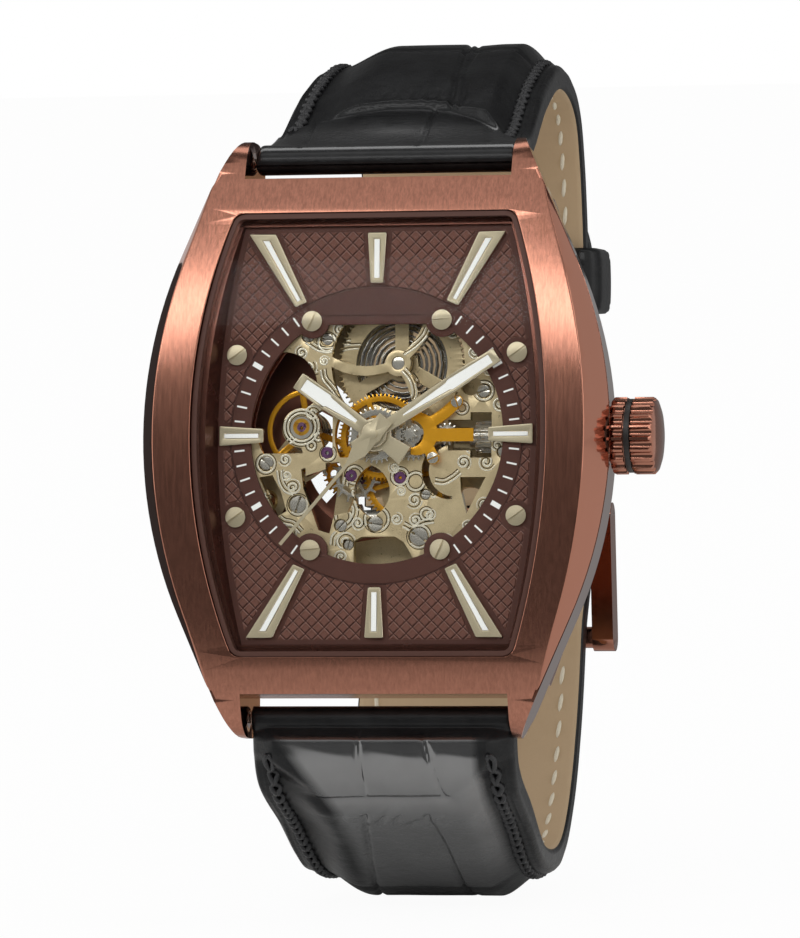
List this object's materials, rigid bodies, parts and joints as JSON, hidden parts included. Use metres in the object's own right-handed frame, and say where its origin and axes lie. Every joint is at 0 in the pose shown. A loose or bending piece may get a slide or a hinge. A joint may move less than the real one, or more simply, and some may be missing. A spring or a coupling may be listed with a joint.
{
  "type": "skeleton wristwatch",
  "caption": "Barrel-shaped wristwatch with a pierced automatic movement open to view through the dial, a fluted crown and a padded leather strap buckled in a loop.",
  "frame": {"origin": "middle of the case back's outer face, where the watch rests on the wrist", "axes": "+X out through the crown at three o'clock, +Y out of the case back into the wrist, +Z to twelve o'clock; the dial looks along -Y"},
  "size_m": [0.046, 0.0543, 0.0782],
  "materials": {
    "brown_case_metal": "brown plated, brushed and polished",
    "sapphire_glass": "clear",
    "black_rubber": "satin",
    "dark_spacer": "matt",
    "brown_dial": "satin, waffle pressed",
    "white_lume": "matt",
    "purple_jewel": "polished",
    "nickel_plate": "nickel plated, engraved",
    "gilt_brass": "gilt",
    "polished_steel": "polished",
    "spring_steel": "blued grey",
    "black_leather": "glossy, grained"
  },
  "bodies": {
    "watch": {"case_body": "brown_case_metal", "bezel": "brown_case_metal", "crystal": "sapphire_glass", "crystal_gasket": "black_rubber", "rehaut": "brown_case_metal", "dial": "brown_dial", "hour_markers": "polished_steel", "marker_lume": "white_lume", "dial_screws": "polished_steel", "movement_ring": "dark_spacer", "main_plate": "nickel_plate", "barrel_bridge": "nickel_plate", "train_bridge": "nickel_plate", "balance_cock": "nickel_plate", "pallet_bridge": "nickel_plate", "setting_yoke": "gilt_brass", "mainspring": "spring_steel", "hairspring": "spring_steel", "jewels": "purple_jewel", "shock_settings": "gilt_brass", "movement_screws": "polished_steel", "rotor_bearing": "polished_steel", "case_back": "brown_case_metal", "back_crystal": "sapphire_glass", "back_screws": "polished_steel", "upper_strap": "black_leather", "lower_strap": "black_leather", "lug_bars": "polished_steel", "buckle_bar": "polished_steel", "fixed_keeper": "black_leather"},
    "seconds_train": {"fourth_wheel": "gilt_brass", "seconds_hand": "polished_steel"},
    "third": {"third_wheel": "gilt_brass"},
    "centre_train": {"centre_wheel": "gilt_brass", "cannon_pinion": "polished_steel", "minute_hand": "polished_steel", "minute_lume": "white_lume"},
    "barrel_drum": {"barrel": "nickel_plate"},
    "escape": {"escape_wheel": "polished_steel"},
    "minute_work": {"minute_wheel": "polished_steel"},
    "hour_work": {"hour_wheel": "polished_steel", "hour_hand": "polished_steel", "hour_lume": "white_lume"},
    "setting": {"setting_wheel": "polished_steel"},
    "fork": {"pallet_fork": "polished_steel"},
    "balance": {"balance_wheel": "gilt_brass"},
    "rotor_weight": {"rotor": "brown_case_metal"},
    "reverser": {"reversing_wheel": "gilt_brass"},
    "winding": {"winding_pinion": "polished_steel"},
    "crown_stem": {"crown": "brown_case_metal", "crown_gasket": "black_rubber", "winding_stem": "polished_steel"},
    "clutch": {"sliding_pinion": "polished_steel"},
    "crown_gear": {"crown_wheel": "polished_steel"},
    "ratchet": {"ratchet_wheel": "polished_steel", "barrel_arbor": "polished_steel"},
    "click_pawl": {"click": "polished_steel"},
    "buckle": {"buckle_frame": "brown_case_metal"},
    "tongue": {"buckle_tongue": "brown_case_metal"},
    "loose_keeper": {"free_keeper": "black_leather"}
  },
  "joints": [
    {"name": "seconds_turn", "type": "hinge", "parent": "watch", "child": "seconds_train", "pos_m": [0, 0, 0], "axis": [0, 1, 0], "continuous": true},
    {"name": "third_turn", "type": "hinge", "parent": "watch", "child": "third", "pos_m": [0.002, 0, -0.0037], "axis": [0, 1, 0], "continuous": true},
    {"name": "centre_turn", "type": "hinge", "parent": "watch", "child": "centre_train", "pos_m": [0, 0, 0], "axis": [0, 1, 0], "continuous": true},
    {"name": "barrel_turn", "type": "hinge", "parent": "watch", "child": "barrel_drum", "pos_m": [0.00175, 0, 0.0064], "axis": [0, 1, 0], "continuous": true},
    {"name": "escape_turn", "type": "hinge", "parent": "watch", "child": "escape", "pos_m": [-0.0024, 0, -0.0035], "axis": [0, 1, 0], "continuous": true},
    {"name": "minute_work_turn", "type": "hinge", "parent": "watch", "child": "minute_work", "pos_m": [0.003, 0, 0.0001], "axis": [0, 1, 0], "continuous": true},
    {"name": "hour_turn", "type": "hinge", "parent": "watch", "child": "hour_work", "pos_m": [0, 0, 0], "axis": [0, 1, 0], "continuous": true},
    {"name": "setting_turn", "type": "hinge", "parent": "watch", "child": "setting", "pos_m": [0.0063, 0, 0.0001], "axis": [0, 1, 0], "continuous": true},
    {"name": "fork_swing", "type": "hinge", "parent": "watch", "child": "fork", "pos_m": [-0.0046, 0, -0.00145], "axis": [0, 1, 0], "range_deg": [-5, 5]},
    {"name": "balance_swing", "type": "hinge", "parent": "watch", "child": "balance", "pos_m": [-0.0069, 0, 0.00075], "axis": [0, 1, 0], "range_deg": [-220, 220], "stiffness_Nm_per_rad": 0.00000021},
    {"name": "rotor_turn", "type": "hinge", "parent": "watch", "child": "rotor_weight", "pos_m": [0, 0, 0], "axis": [0, 1, 0], "continuous": true},
    {"name": "reverser_turn", "type": "hinge", "parent": "watch", "child": "reverser", "pos_m": [-0.0039, 0, -0.0029], "axis": [0, 1, 0], "continuous": true},
    {"name": "crown_turn", "type": "hinge", "parent": "watch", "child": "winding", "pos_m": [0.009, -0.0056, 0], "axis": [1, 0, 0], "continuous": true},
    {"name": "crown_pull", "type": "slide", "parent": "winding", "child": "crown_stem", "axis": [1, 0, 0], "range_m": [0, 0.0012]},
    {"name": "clutch_slide", "type": "slide", "parent": "winding", "child": "clutch", "axis": [1, 0, 0], "range_m": [-0.00072, 0]},
    {"name": "crown_gear_turn", "type": "hinge", "parent": "watch", "child": "crown_gear", "pos_m": [0.007, 0, 0.00175], "axis": [0, 1, 0], "continuous": true},
    {"name": "ratchet_turn", "type": "hinge", "parent": "watch", "child": "ratchet", "pos_m": [0.00175, 0, 0.0064], "axis": [0, 1, 0], "continuous": true},
    {"name": "click_lift", "type": "hinge", "parent": "watch", "child": "click_pawl", "pos_m": [-0.0039, 0, 0.0083], "axis": [0, 1, 0], "range_deg": [0, 10]},
    {"name": "buckle_tilt", "type": "hinge", "parent": "watch", "child": "buckle", "pos_m": [0, 0.03618, -0.004], "axis": [1, 0, 0], "range_deg": [0, 3]},
    {"name": "tongue_lift", "type": "hinge", "parent": "buckle", "child": "tongue", "pos_m": [0, 0.03618, -0.004], "axis": [1, 0, 0], "range_deg": [0, 8]},
    {"name": "keeper_slide", "type": "slide", "parent": "watch", "child": "loose_keeper", "axis": [0, -0.0708, 0.9975], "range_m": [-0.002, 0.002]}
  ],
  "couplings": [
    {"joint": "third_turn", "follows": "seconds_turn", "ratio": -0.13333},
    {"joint": "centre_turn", "follows": "seconds_turn", "ratio": 0.016667},
    {"joint": "barrel_turn", "follows": "seconds_turn", "ratio": -0.0027778},
    {"joint": "escape_turn", "follows": "seconds_turn", "ratio": -12},
    {"joint": "minute_work_turn", "follows": "seconds_turn", "ratio": -0.0055556},
    {"joint": "hour_turn", "follows": "seconds_turn", "ratio": 0.0013889},
    {"joint": "setting_turn", "follows": "seconds_turn", "ratio": 0.013889},
    {"joint": "reverser_turn", "follows": "rotor_turn", "ratio": -1.4286},
    {"joint": "clutch_slide", "follows": "crown_pull", "ratio": -0.6},
    {"joint": "crown_gear_turn", "follows": "crown_turn", "ratio": -0.52941},
    {"joint": "ratchet_turn", "follows": "crown_turn", "ratio": 0.34615}
  ]
}
